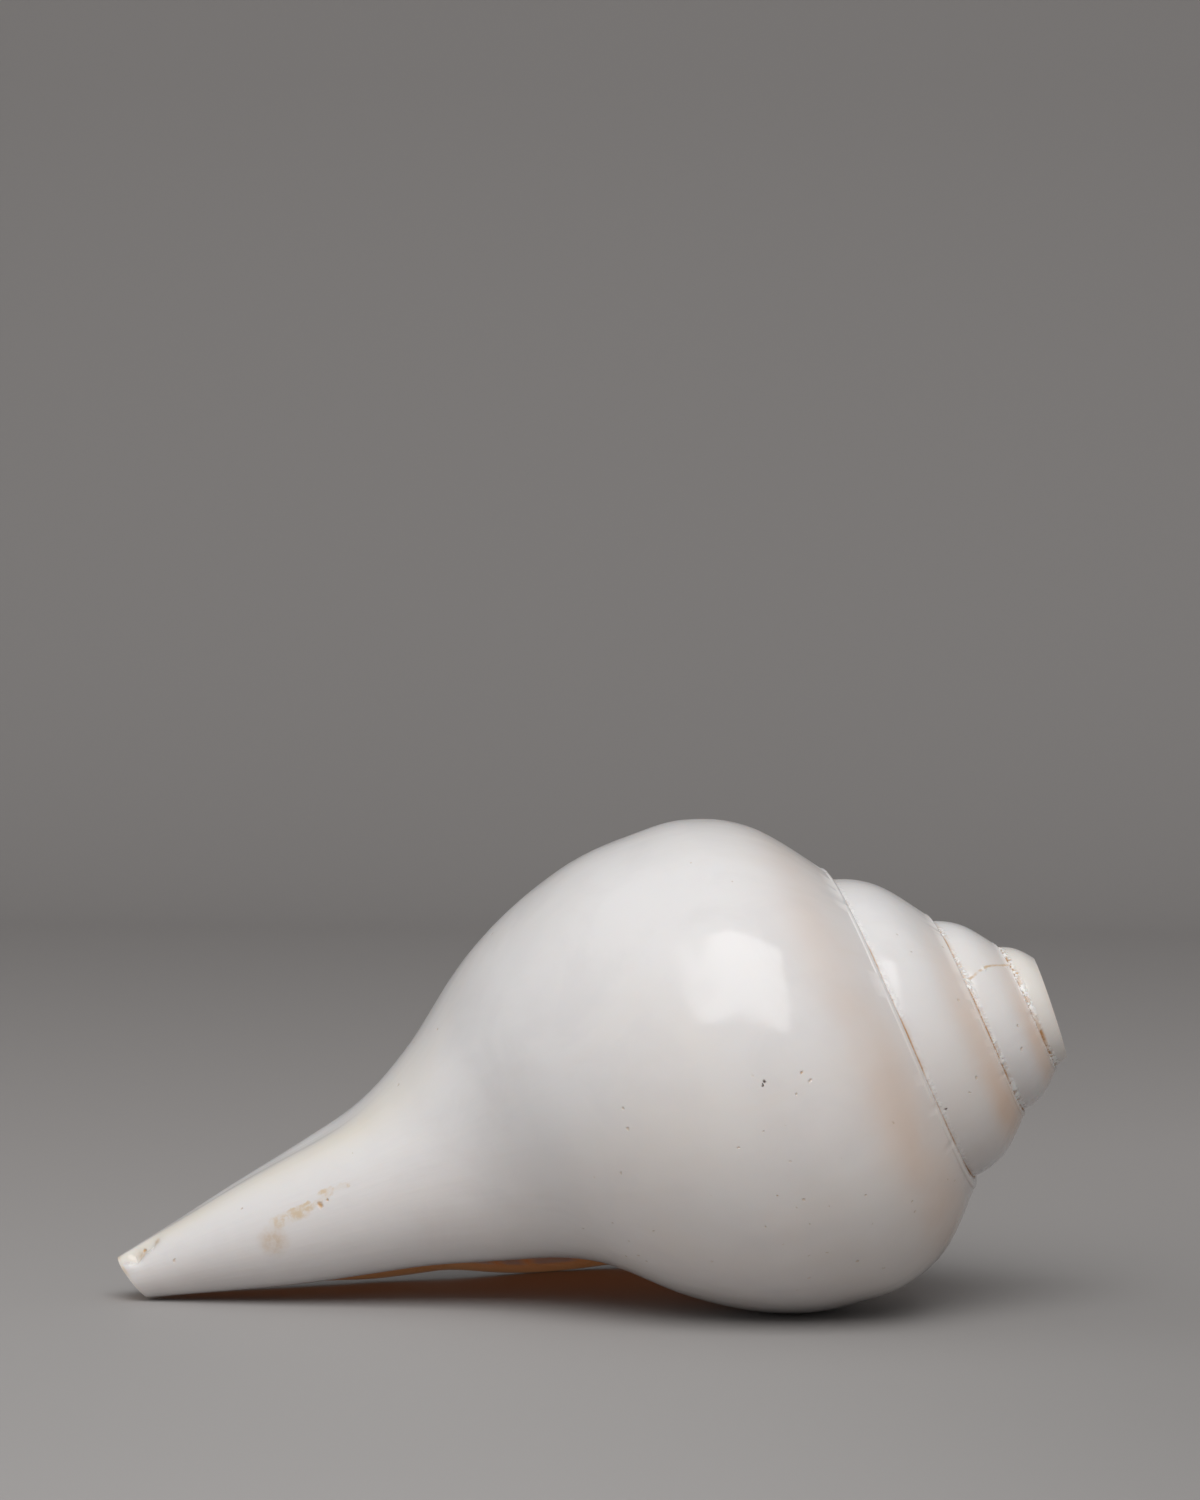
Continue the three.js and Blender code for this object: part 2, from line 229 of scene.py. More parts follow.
def wall_thickness(turns, depth):
    """A fixed part plus a part that grows with girth, thinned smoothly toward the tip."""
    thinning = smoothstep(depth, CANAL_BEND_END, TIP_DEPTH)
    return (WALL_BASE + WALL_GROWN * GIRTH_GROWTH ** turns) * (1 - (1 - TIP_WALL) * thinning)


def canal_gap(depth):
    """Height of the canal under the lip, a straight run from its wide end to the tip."""
    along = np.clip((depth - CANAL_GAP_DEPTH) / (TIP_DEPTH - CANAL_GAP_DEPTH), 0, 1)
    return lerp(CANAL_GAP_WIDE, CANAL_GAP_TIP, along)


def outer_radius(turns, depth):
    """Radius of the outside.

    The whorl outline, scaled in depth and radius by its growth, and the canal spindle, which flares out
    beside the lip, are joined by a smooth maximum: the sum of their powers, back to the root.
    """
    whorl = GIRTH_GROWTH ** turns * curve_through(WHORL_OUTLINE, depth / LENGTH_GROWTH ** turns)
    spindle = curve_through(CANAL_OUTLINE, depth)
    flare = smoothstep(turns, -FLARE_TURNS, 0)
    canal = spindle + flare * np.maximum(curve_through(CANAL_LIP_OUTLINE, depth) - spindle, 0)
    return (whorl ** CANAL_BLEND + canal ** CANAL_BLEND) ** (1 / CANAL_BLEND)


def fold_height(turns, depth, height):
    """Rounded spiral ridges on the columella: bell curves over depth that fade out before the outside."""
    grown = LENGTH_GROWTH ** (turns + 1)
    ridges = sum(np.exp(-(((depth / grown - at) / FOLD_WIDTH) ** 2)) for at in FOLD_DEPTHS)
    return height * ridges * grown * (1 - smoothstep(turns, FOLD_FADE_START, FOLD_FADE_END))


def centre_line(depth):
    """How far the centre lies toward the aperture side: the spire's lean, less the bend of the canal."""
    lean = SPIRE_LEAN * (1 - smoothstep(depth, suture_depth(-SPIRE_TURNS), SPIRE_LEAN_END))
    return lean - CANAL_BEND * smoothstep(depth, CANAL_BEND_START, CANAL_BEND_END)


def hand_worn(angle, depth):
    """Slight unevenness of a polished surface, as a share of the radius: waves over the unrolled surface."""
    x, y, z = np.cos(angle), np.sin(angle), depth / WORN_DEPTH
    total = wander(2.1 * x + 1.3 * y + 1.7 * z, 11, *WORN_WAVES)
    total = total + wander(1.2 * x - 2.2 * y + 2.3 * z, 12, *WORN_WAVES)
    return WORN_SHARE * total


def place(turns, depth, radius):
    """Points of the shell's own frame: the radius swung to its turn around the centre line, at its depth."""
    turns, depth, radius = np.broadcast_arrays(turns, depth, radius)
    twist = CANAL_TWIST * smoothstep(depth, CANAL_TWIST_START, CANAL_TWIST_END)
    angle = np.radians(LIP_ANGLE + twist) + 2 * math.pi * turns
    reach = radius * (1 + hand_worn(angle, depth))
    return np.stack((reach * np.cos(angle), reach * np.sin(angle) + centre_line(depth), depth), -1)


def tip_depth(turns, radius_at):
    """Depth at which a wall meets the sloping facet of the tip, by going to and fro until it settles."""
    depth = np.full_like(turns, TIP_DEPTH)
    for _ in range(TIP_PASSES):
        side = place(turns, depth, radius_at(depth))[..., 1] + CANAL_BEND
        depth = TIP_DEPTH - math.tan(math.radians(TIP_TILT)) * side
    return depth


def rounded_rise(x, reach):
    """Quarter ellipse from 0 up to 1 over the given reach."""
    left = 1 - np.clip(x / reach, 0, 1)
    return np.sqrt(1 - left * left)


def turn_grid(start, end, steps):
    """Growth stages as a column, evenly spaced with that many steps in each turn."""
    return np.linspace(start, end, round((end - start) * steps) + 1)[:, None]


def closer(count, power):
    """Shares from 0 to 1 that lie closer together toward the end."""
    return 1 - (1 - np.linspace(0, 1, count + 1)) ** power


def chip_depth(turns):
    """How deep a whorl's upper edge is chipped, 0 to 1: the peaks of two irregular lines over the turns."""
    long_chips = smoothstep(wander(turns, *LONG_CHIPS), 0.9, 1.7)
    small_chips = smoothstep(wander(turns, *SMALL_CHIPS), 0.8, 1.9)
    return np.clip(0.8 * long_chips + 0.7 * small_chips, 0, 1)


def spire_band(turns, chipping):
    """The outside between one suture and the next.

    It starts on the whorl before it, climbs a small square-cornered ledge, whose two coordinates are powers
    of a sine and a cosine, and follows the outline to the next suture. Beyond the cut it starts on the cut.
    """
    start, end = suture_depth(turns), suture_depth(turns + 1)
    cut = turns < -SPIRE_TURNS - SAME_TURN
    cut_depth = suture_depth(-SPIRE_TURNS)
    under = outer_radius(turns - 1, start)
    ledge = np.where(cut, 0, outer_radius(turns, start) - under)
    first = np.where(cut, cut_depth, start + LEDGE_REACH * ledge)
    crest = outer_radius(turns, first)
    quarter = np.linspace(0, math.pi / 2, LEDGE_STEPS + 1)[None]
    across = 1 - np.cos(quarter).clip(0) ** (2 / LEDGE_SQUARE)
    up = np.sin(quarter) ** (2 / LEDGE_SQUARE)
    share = np.concatenate((np.linspace(0, 0.95, BAND_STEPS - 1)[1:], (0.982, 1.0)))[None]
    depth = np.hstack((
        np.where(cut, cut_depth, start + LEDGE_REACH * ledge * across),
        lerp(first, end, share),
    ))
    radius = np.hstack((
        np.where(cut, crest, under + (crest - under) * up),
        outer_radius(turns, lerp(first, end, share)),
    ))
    reach = np.maximum(CHIP_REACH * ledge, LEAST_CHIP_REACH)
    past_crest = np.abs(depth - start - CHIP_CENTRE * ledge) / reach
    lost = chipping * ledge * chip_depth(turns) * np.exp(-(past_crest ** 2)) * np.where(cut, 0, 1)
    lost[:, 0] = 0
    radius = np.maximum(radius - lost, np.where(cut, 0, np.minimum(under, radius)))
    points = place(turns, depth, radius)
    step = np.linalg.norm(np.diff(points, axis=1), axis=2)
    run = np.concatenate((np.zeros_like(turns), np.cumsum(step, 1)), 1)
    from_start = np.where(cut, NO_SEAM, run)
    to_end = np.where(turns < -1 + SAME_TURN, run[:, -1:] - run, NO_SEAM)
    return points, {
        "seam": np.minimum(np.minimum(from_start, to_end), NO_SEAM),
        "shoulder": (depth - start) / LENGTH_GROWTH ** turns,
        "inside": np.zeros_like(depth),
    }


def body_side(turns, fold):
    """The last whorl from where a next one would start, down to the tip, with folds at its covered edge."""
    start = suture_depth(turns + 1)
    corner = start + CORNER_DEPTH * LENGTH_GROWTH ** (turns + 1)
    outside = lambda depth: outer_radius(turns, depth)
    end = tip_depth(turns, outside)
    near = lerp(start, corner, np.linspace(0, 1, SHOULDER_STEPS + 1)[None, :-1])
    depth = np.hstack((near, lerp(corner, end, closer(BODY_STEPS, 1.3)[None])))
    points = place(turns, depth, outer_radius(turns, depth) + fold_height(turns, depth, fold))
    return points, {
        "seam": np.full_like(depth, NO_SEAM),
        "shoulder": (depth - suture_depth(turns)) / LENGTH_GROWTH ** turns,
        "inside": np.zeros_like(depth),
    }


def tube_walls(turns, shares, fold):
    """The two sides of the spiral tube, both from its upper corner.

    The outer side lies a wall's thickness inside the outside. The inner side lies on the whorl before, or a
    canal's height away, and carries the folds. Quarter ellipses round the corners, and the canal opens
    along the tip over the last part of the turn.
    """
    def facing(depth):
        return outer_radius(turns, depth) - wall_thickness(turns, depth)

    def gap(depth):
        natural = facing(depth) - outer_radius(turns - 1, depth)
        below = smoothstep(depth, CANAL_BEND_START, CANAL_GAP_DEPTH)
        canal = canal_gap(depth) * smoothstep(-turns, 0, SLOT_TURNS / 2) * below
        return np.maximum(np.maximum(natural, canal), LEAST_GAP)

    def inside(depth):
        return facing(depth) - gap(depth)

    openness = np.sqrt(np.clip(1 + turns / SLOT_TURNS, 0, 1))

    def outside(depth, share):
        bottom = lerp(rounded_rise(1 - share, BOTTOM_ROUNDING), 1, openness)
        return inside(depth) + gap(depth) * rounded_rise(share, TOP_ROUNDING) * bottom

    start = suture_depth(turns) + CORNER_DEPTH * LENGTH_GROWTH ** turns
    reach = smoothstep(turns, -CANAL_CLOSE_TURNS, -SLOT_TURNS)
    closed = lerp(TUBE_END_DEPTH * LENGTH_GROWTH ** turns, tip_depth(turns, inside), reach)
    is_open = turns > -SLOT_TURNS + SAME_TURN
    inner_end = np.where(is_open, tip_depth(turns, inside), closed)
    outer_end = np.where(is_open, tip_depth(turns, lambda depth: outside(depth, 1)), closed)
    inner_depth = lerp(start, inner_end, closer(BODY_STEPS, 1.3)[None])
    outer_depth = lerp(start, outer_end, shares[None])
    folds = fold_height(turns - 1, inner_depth, fold)
    sides = []
    for depth, radius, fade in (
        (inner_depth, inside(inner_depth) + folds, INNER_FADE_TURNS),
        (outer_depth, outside(outer_depth, shares[None]), OUTER_FADE_TURNS),
    ):
        sides.append((place(turns, depth, radius), {
            "seam": np.full_like(depth, NO_SEAM),
                "shoulder": np.full_like(depth, FAR_FROM_SHOULDER),
            "inside": smoothstep(-turns, 0, fade) * np.ones_like(depth),
        }))
    return sides


def lip_edge(outer_edge, inner_edge, rounding):
    """The rounded free edge: half an ellipse from the outer edge row to the inner one, pushed forward."""
    forward = np.array((-math.sin(math.radians(LIP_ANGLE)), math.cos(math.radians(LIP_ANGLE)), 0))
    arc = np.linspace(0, math.pi, LIP_STEPS + 1)[:, None, None]
    count = len(outer_edge)
    index = np.arange(count)
    free = smoothstep(index, SHOULDER_STEPS, SHOULDER_STEPS + LIP_BULGE_START_ROWS)
    free = free * smoothstep(count - 1 - index, 0, LIP_BULGE_END_ROWS)
    points = lerp(outer_edge[None], inner_edge[None], (1 - np.cos(arc)) / 2)
    points = points + forward * np.sin(arc) * rounding * free[None, :, None]
    flat = np.zeros(points.shape[:2])
    return points, {
        "seam": flat + NO_SEAM,
        "shoulder": flat + FAR_FROM_SHOULDER,
        "inside": flat + smoothstep(arc[..., 0], 0.15 * math.pi, 0.6 * math.pi),
    }


class Skin:
    """Gathers grids of points, and the four-sided faces between their rows."""

    def __init__(self):
        self.points, self.faces, self.marks, self.count = [], [], [], 0

    def add(self, points, marks, flip=False):
        """One grid. Each face joins two neighbours of one row to the same two of the next."""
        rows, columns = points.shape[:2]
        index = self.count + np.arange(rows * columns).reshape(rows, columns)
        corners = (index[:-1, :-1], index[1:, :-1], index[1:, 1:], index[:-1, 1:])
        faces = np.stack([corner.ravel() for corner in corners], -1)
        self.faces.append(faces[:, ::-1] if flip else faces)
        self.points.append(points.reshape(-1, 3))
        self.marks.append({name: values.ravel() for name, values in marks.items()})
        self.count += rows * columns

    def gathered(self):
        names = self.marks[0]
        marks = {name: np.concatenate([m[name] for m in self.marks]) for name in names}
        return np.concatenate(self.points), np.concatenate(self.faces), marks


# Wear at the tip: turns, depth, radius, size and inward move, in turns and millimetres
TIP_MARKS = (
    (-0.445, 180.4, 4.4, 1.6, 2.2),
    (-0.43, 177.4, 5.1, 1.3, 1.1),
    (-0.5, 181.8, 4.0, 1.3, -0.7),
)


def tip_wear(points):
    """The broken notch and lobe at the tip: bell curves of distance draw points in or let them out."""
    worn = points.copy()
    for turns, depth, radius, size, move in TIP_MARKS:
        centre = place(turns, depth, radius)
        axis = np.array((0, -CANAL_BEND, depth))
        inward = axis - centre
        inward = inward / np.linalg.norm(inward)
        near = np.exp(-(np.linalg.norm(points - centre, axis=-1) / size) ** 2)
        worn = worn + near[..., None] * inward * move
    return worn


def shell_axes():
    """The coiling axis laid down: the directions that the shell's far side, under side and tip point to."""
    rise, yaw, roll = (math.radians(angle) for angle in (AXIS_RISE, AXIS_YAW, AXIS_ROLL))
    down = Vector((-math.cos(rise) * math.cos(yaw), -math.cos(rise) * math.sin(yaw), -math.sin(rise)))
    far = Matrix.Rotation(roll, 3, down) @ Vector((-math.sin(yaw), math.cos(yaw), 0))
    return np.array((far, down.cross(far), down))


def shell_surface(sizes):
    """All grids of the shell in its own frame, in millimetres, with the marks that its finish reads."""
    skin = Skin()
    chipping, fold = sizes.suture_chipping, sizes.fold_height / MM
    bands = turn_grid(-SPIRE_TURNS - 1, 0, OUTSIDE_STEPS)
    band, band_marks = spire_band(bands, chipping)
    body_turns = turn_grid(-1, 0, OUTSIDE_STEPS)
    body, body_marks = body_side(body_turns, fold)
    outer_edge = np.concatenate((band[-1], body[-1, 1:]))
    edge_depth = outer_edge[:, 2]
    corner = SUTURE_DEPTH + CORNER_DEPTH
    shares = np.clip((edge_depth - corner) / (edge_depth[-1] - corner), 0, 1)[SHOULDER_STEPS:]
    first = LEDGE_STEPS + 3
    shares[:first] = shares[first] * (np.arange(first) / first) ** 1.6
    sides = tube_walls(turn_grid(-TUBE_TURNS, 0, TUBE_STEPS), shares, fold)
    (inner, inner_marks), (outer, outer_marks) = sides
    inner_edge = np.concatenate((body[0, :SHOULDER_STEPS], outer[-1]))
    lip, lip_marks = lip_edge(outer_edge, inner_edge, sizes.lip_rounding / MM)
    parts = (
        (band, band_marks, bands, False),
        (body, body_marks, body_turns, False),
        (inner, inner_marks, turn_grid(-TUBE_TURNS, 0, TUBE_STEPS), False),
        (outer, outer_marks, turn_grid(-TUBE_TURNS, 0, TUBE_STEPS), True),
        (lip, lip_marks, np.zeros((LIP_STEPS + 1, 1)), False),
    )
    for points, marks, turns, flip in parts:
        marks["turns"] = turns * np.ones(points.shape[:2])
        skin.add(tip_wear(points), marks, flip)
    return skin.gathered()


def blow_hole_plug(sizes):
    """A round plug with a domed end along the axis: a profile of radius and depth turned around it."""
    radius = sizes.blow_hole_radius / MM
    quarter = np.linspace(0, math.pi / 2, PLUG_END_ROWS)
    end = sizes.blow_hole_depth / MM - radius
    profile_radius = np.concatenate(((0, radius), radius * np.cos(quarter)))
    top = suture_depth(-SPIRE_TURNS) - PLUG_START
    profile_depth = np.concatenate(((top, top), end + radius * np.sin(quarter)))
    angle = np.linspace(0, 2 * math.pi, PLUG_SIDES + 1)[:, None]
    return np.stack((
        profile_radius * np.cos(angle),
        profile_radius * np.sin(angle) + SPIRE_LEAN,
        profile_depth * np.ones_like(angle),
    ), -1)


def closed_mesh(name, points, faces, marks):
    """A mesh of the points in metres, with doubles merged, flat ends filled and every face turned outward."""
    mesh = bpy.data.meshes.new(name)
    mesh.from_pydata((points * MM).tolist(), [], faces.tolist())
    for mark, values in marks.items():
        attribute = mesh.attributes.new(mark, "FLOAT", "POINT")
        attribute.data.foreach_set("value", np.ascontiguousarray(values, np.float32))
    bm = bmesh.new()
    bm.from_mesh(mesh)
    bmesh.ops.remove_doubles(bm, verts=bm.verts, dist=MERGE_DISTANCE)
    loose = [edge for edge in bm.edges if edge.is_boundary]
    bmesh.ops.holes_fill(bm, edges=loose, sides=0)
    bmesh.ops.triangulate(bm, faces=[face for face in bm.faces if len(face.verts) > 4])
    bmesh.ops.recalc_face_normals(bm, faces=bm.faces)
    open_edges = sum(1 for edge in bm.edges if not edge.is_manifold)
    if open_edges:
        raise RuntimeError(f"{name} has {open_edges} edges that don't close")
    bm.to_mesh(mesh)
    bm.free()
    return mesh


def bored_mesh(name, solid, plug):
    """The solid less the plug, with the plug taken away."""
    piece = bpy.data.objects.new(name, solid)
    cutter = bpy.data.objects.new("blow_hole_plug", plug)
    for made in (piece, cutter):
        bpy.context.scene.collection.objects.link(made)
    bore = piece.modifiers.new("blow hole", "BOOLEAN")
    bore.operation, bore.solver, bore.object = "DIFFERENCE", "MANIFOLD", cutter
    bpy.context.view_layer.update()
    cut = bpy.data.meshes.new_from_object(piece.evaluated_get(bpy.context.evaluated_depsgraph_get()))
    piece.modifiers.clear()
    piece.data = cut
    cut.name = name
    bpy.data.objects.remove(cutter)
    if len(cut.polygons) <= len(solid.polygons) // 2:
        raise RuntimeError("the blow hole was not cut")
    return piece


# ---------------------------------------------------------------- finish


# Grain of each pattern: noise scale per metre, detail, roughness and distortion
GRAIN = {
    "clouds": (26.0, 4.0, 0.5, 0.0),
    "growth lines": (9.0, 5.0, 0.6, 0.0),
    "milk": (70.0, 5.0, 0.62, 0.6),
    "blush": (60.0, 3.0, 0.5, 0.0),
    "hollow": (40.0, 3.0, 0.55, 0.0),
    "ragged": (900.0, 3.0, 0.6, 0.0),
    "grit": (420.0, 4.0, 0.65, 0.0),
    "crumb": (1150.0, 3.0, 0.6, 0.0),
    "patches": (95.0, 2.0, 0.5, 0.0),
    "gloss": (130.0, 3.0, 0.55, 0.0),
    "hand waves": (75.0, 2.0, 0.4, 0.0),
    "planes": (24.0, 3.0, 0.5, 0.4),
    "sheet": (3.0, 3.0, 0.55, 0.0),
}
PRICKS_SCALE = 210.0

# Small marks, placed on the shell: degrees round from the lip, depth and size in millimetres
DARK_PITS = ((-202.2, 63.6, 0.75), (-591, 36.1, 0.6), (-202.9, 64.2, 0.55))
ORANGE_PITS = (
    (-202.8, 57.3, 0.6), (-199.7, 145, 1.25), (-197.9, 143.6, 0.6), (-227.5, 67.8, 0.35),
    (-146.3, 64.4, 0.3), (-151, 178.6, 0.9), (-870, 16.9, 0.6), (-886, 16.6, 0.7),
)
FAINT_PITS = (
    (-205.1, 56.5, 0.8), (-206.8, 59.4, 0.5), (-197.6, 87.8, 0.7), (-212.2, 66.5, 0.45),
    (-223.5, 78.3, 0.4), (-233.9, 60.1, 0.4), (-234.3, 71.3, 0.4), (-237, 64.2, 0.4),
    (-246.6, 66, 0.45), (-243.1, 54.1, 0.4), (-234.9, 53.6, 0.45), (-236.1, 101.7, 0.45),
    (-230, 96.1, 0.4), (-237.6, 94.7, 0.4), (-232.1, 89.7, 0.4), (-154.9, 58.5, 0.35),
    (-168.4, 137.1, 0.4), (-173.9, 158.9, 0.45), (-204.2, 173.4, 0.7), (-522, 34.5, 0.4),
    (-530, 33.2, 0.35), (-930, 19.5, 0.5), (-945, 20.3, 0.6),
)
TAN_BLOTCHES = ((-217.5, 155, 5.2), (-160, 179.2, 2.4), (-156, 175.8, 1.5))
CHALK_SPOTS = ((-172, 181.2, 1.5), (-165, 177.2, 1.0), (-890.5, 21.8, 0.9), (-881.5, 18, 0.9))

# Scratches and a crack: both ends as degrees and depth, then the width
SCRATCHES = (
    (-201.7, 153.6, -200.2, 148.2, 1.5), (-190.1, 144.4, -191.7, 139.4, 0.7),
    (-200.5, 148.0, -193.5, 142.5, 0.7), (-196.0, 151.0, -195.0, 147.0, 0.5),
)
CRACKS = ((-897.8, 25.3, -889, 21.4, 0.42), (-889, 21.4, -879.8, 17.6, 0.38))

# How far broken outlines stray, in metres, and the smaller share of it for the crack
TORN_REACH, FINE_SHARE = 0.0011, 0.45

# Reach of a mark as a share of its size, and the core of full strength as a share of the reach
PIT_REACH, BLOTCH_REACH, CHALK_REACH = 0.62, 0.7, 1.0
MARK_CORE, STROKE_CORE = 0.15, 0.25

# Depths between which the sutures turn from clean to chalky, and between which the line widens
CHALKY_DEPTHS = (36, 29)
WIDE_LINE_DEPTHS = (22, 18)

# Roughness: how far it spreads over the polish, and what dull marks and the hollow add
POLISH_SPREAD, DULL_ROUGHNESS, HOLLOW_ROUGHNESS = 0.09, 0.45, 0.1


class Nodes:
    """Adds and links the nodes of one material.

    A ramp gives its third number at its first one and its fourth at its second, eased in between.
    """

    def __init__(self, material):
        material.use_nodes = True
        self.tree = material.node_tree
        self.tree.nodes.clear()

    def add(self, kind, inputs=None, **settings):
        node = self.tree.nodes.new(kind)
        for name, value in settings.items():
            setattr(node, name, value)
        for name, value in (inputs or {}).items():
            self.feed(node.inputs[name], value)
        return node

    def feed(self, socket, value):
        if isinstance(value, bpy.types.NodeSocket):
            self.tree.links.new(value, socket)
        else:
            socket.default_value = value

    def math(self, operation, a, b=0.0, c=0.0, clamp=False):
        return self.add("ShaderNodeMath", {0: a, 1: b, 2: c}, operation=operation, use_clamp=clamp).outputs[0]

    def times(self, *values):
        return functools.reduce(lambda a, b: self.math("MULTIPLY", a, b), values)

    def most(self, *values):
        return functools.reduce(lambda a, b: self.math("MAXIMUM", a, b), values)

    def mark(self, name):
        return self.add("ShaderNodeAttribute", attribute_name=name).outputs["Fac"]

    def grain(self, name, vector, output="Fac"):
        scale, detail, roughness, distortion = GRAIN[name]
        inputs = {"Vector": vector, "Scale": scale, "Detail": detail}
        inputs |= {"Roughness": roughness, "Distortion": distortion}
        return self.add("ShaderNodeTexNoise", inputs).outputs[output]

    def ramp(self, value, low, high, to_low=0.0, to_high=1.0):
        inputs = {"Value": value, "From Min": low, "From Max": high, "To Min": to_low, "To Max": to_high}
        return self.add("ShaderNodeMapRange", inputs, interpolation_type="SMOOTHSTEP").outputs["Result"]

    def colour(self, factor, a, b):
        """Mix of colours a and b. Inputs 6 and 7 are the node's colour sockets, and output 2 its colour."""
        return self.add("ShaderNodeMix", {0: factor, 6: a, 7: b}, data_type="RGBA").outputs[2]

    def vector(self, operation, a, b, output="Vector"):
        return self.add("ShaderNodeVectorMath", {0: a, 1: b}, operation=operation).outputs[output]

    def scaled(self, vector, scale):
        inputs = {0: vector, "Scale": scale}
        return self.add("ShaderNodeVectorMath", inputs, operation="SCALE").outputs["Vector"]

    def bump(self, height, strength, distance, normal=None):
        inputs = {"Strength": strength, "Distance": distance, "Height": height}
        if normal is not None:
            inputs["Normal"] = normal
        return self.add("ShaderNodeBump", inputs).outputs["Normal"]


def on_shell(angle, depth, to_world):
    """The place on the outside at that angle and depth, in metres."""
    turns = np.array(angle / 360.0)
    depth = np.array(float(depth))
    return to_world(tip_wear(place(turns, depth, outer_radius(turns, depth))[None])[0])


def spots(n, vector, marks, to_world, reach):
    """1 at the middle of a mark, falling smoothly to 0 at its reach, and the largest over all the marks."""
    near = []
    for angle, depth, size in marks:
        away = n.vector("DISTANCE", vector, tuple(on_shell(angle, depth, to_world)), "Value")
        near.append(n.ramp(away, size * MM * reach, size * MM * reach * MARK_CORE))
    return n.most(*near)


def strokes(n, vector, marks, to_world):
    """1 along a line between two places, falling smoothly to 0 at its width, and the largest over all lines.

    The share of the way along is the dot product with the run over its square, held between 0 and 1.
    """
    near = []
    for angle, depth, to_angle, to_depth, width in marks:
        start, end = on_shell(angle, depth, to_world), on_shell(to_angle, to_depth, to_world)
        run = end - start
        from_start = n.vector("SUBTRACT", vector, tuple(start))
        along = n.vector("DOT_PRODUCT", from_start, tuple(run / (run @ run)), "Value")
        along = n.math("ADD", along, 0.0, clamp=True)
        away = n.vector("DISTANCE", from_start, n.scaled(tuple(run), along), "Value")
        near.append(n.ramp(away, width * MM, width * MM * STROKE_CORE))
    return n.most(*near)


class ShellPatterns:
    """The patterns that several parts of the shell's finish share."""

    def __init__(self, n, to_world):
        self.at = n.add("ShaderNodeTexCoord").outputs["Object"]
        self.inside, self.depth = n.mark("inside"), n.mark("depth")
        around = n.add("ShaderNodeAttribute", attribute_name="growth").outputs["Vector"]
        self.clouds = n.grain("clouds", self.at)
        self.streaks = n.grain("growth lines", around)
        self.grit = n.grain("grit", self.at)
        self.patches = n.grain("patches", self.at)

        # Broken outlines for every small mark
        centred = n.vector("SUBTRACT", n.grain("ragged", self.at, "Color"), (0.5, 0.5, 0.5))
        shift = n.scaled(centred, TORN_REACH)
        self.torn = n.vector("ADD", self.at, shift)
        self.torn_fine = n.vector("ADD", self.at, n.scaled(shift, FINE_SHARE))

        self.faint = spots(n, self.torn, FAINT_PITS, to_world, PIT_REACH)
        self.orange = spots(n, self.torn, ORANGE_PITS, to_world, PIT_REACH)
        self.dark = spots(n, self.torn, DARK_PITS, to_world, PIT_REACH)
        cells = {"Vector": self.torn, "Scale": PRICKS_SCALE}
        cell = n.add("ShaderNodeTexVoronoi", cells, feature="F1").outputs["Distance"]
        pricks = n.times(n.ramp(cell, 0.075, 0.03), n.ramp(self.clouds, 0.5, 0.62))
        self.pricks = n.times(pricks, n.math("SUBTRACT", 1.0, self.inside))


def ground_colour(n, looks, on):
    """Porcelain under cream clouds, growth lines, greyer milk, the ivory band, the peach and the hollow."""
    colour = n.colour(n.ramp(on.clouds, 0.42, 0.72, 0, 0.55), looks.porcelain, looks.cream)
    colour = n.colour(n.ramp(on.streaks, 0.52, 0.75, 0, 0.3), colour, looks.cream)
    colour = n.colour(n.ramp(n.grain("milk", on.at), 0.42, 0.7, 0, 0.55), colour, looks.milk)
    ivory = n.times(n.mark("warm"), n.ramp(on.clouds, 0.3, 0.7, 0.6, 1))
    colour = n.colour(ivory, colour, looks.ivory)
    blush = n.times(n.mark("peach"), n.ramp(n.grain("blush", on.at), 0.25, 0.7, 0.55, 1.0))
    colour = n.colour(blush, colour, looks.peach)
    deeper = n.ramp(n.grain("hollow", on.at), 0.35, 0.7)
    return n.colour(on.inside, colour, n.colour(deeper, looks.hollow, looks.hollow_deep))


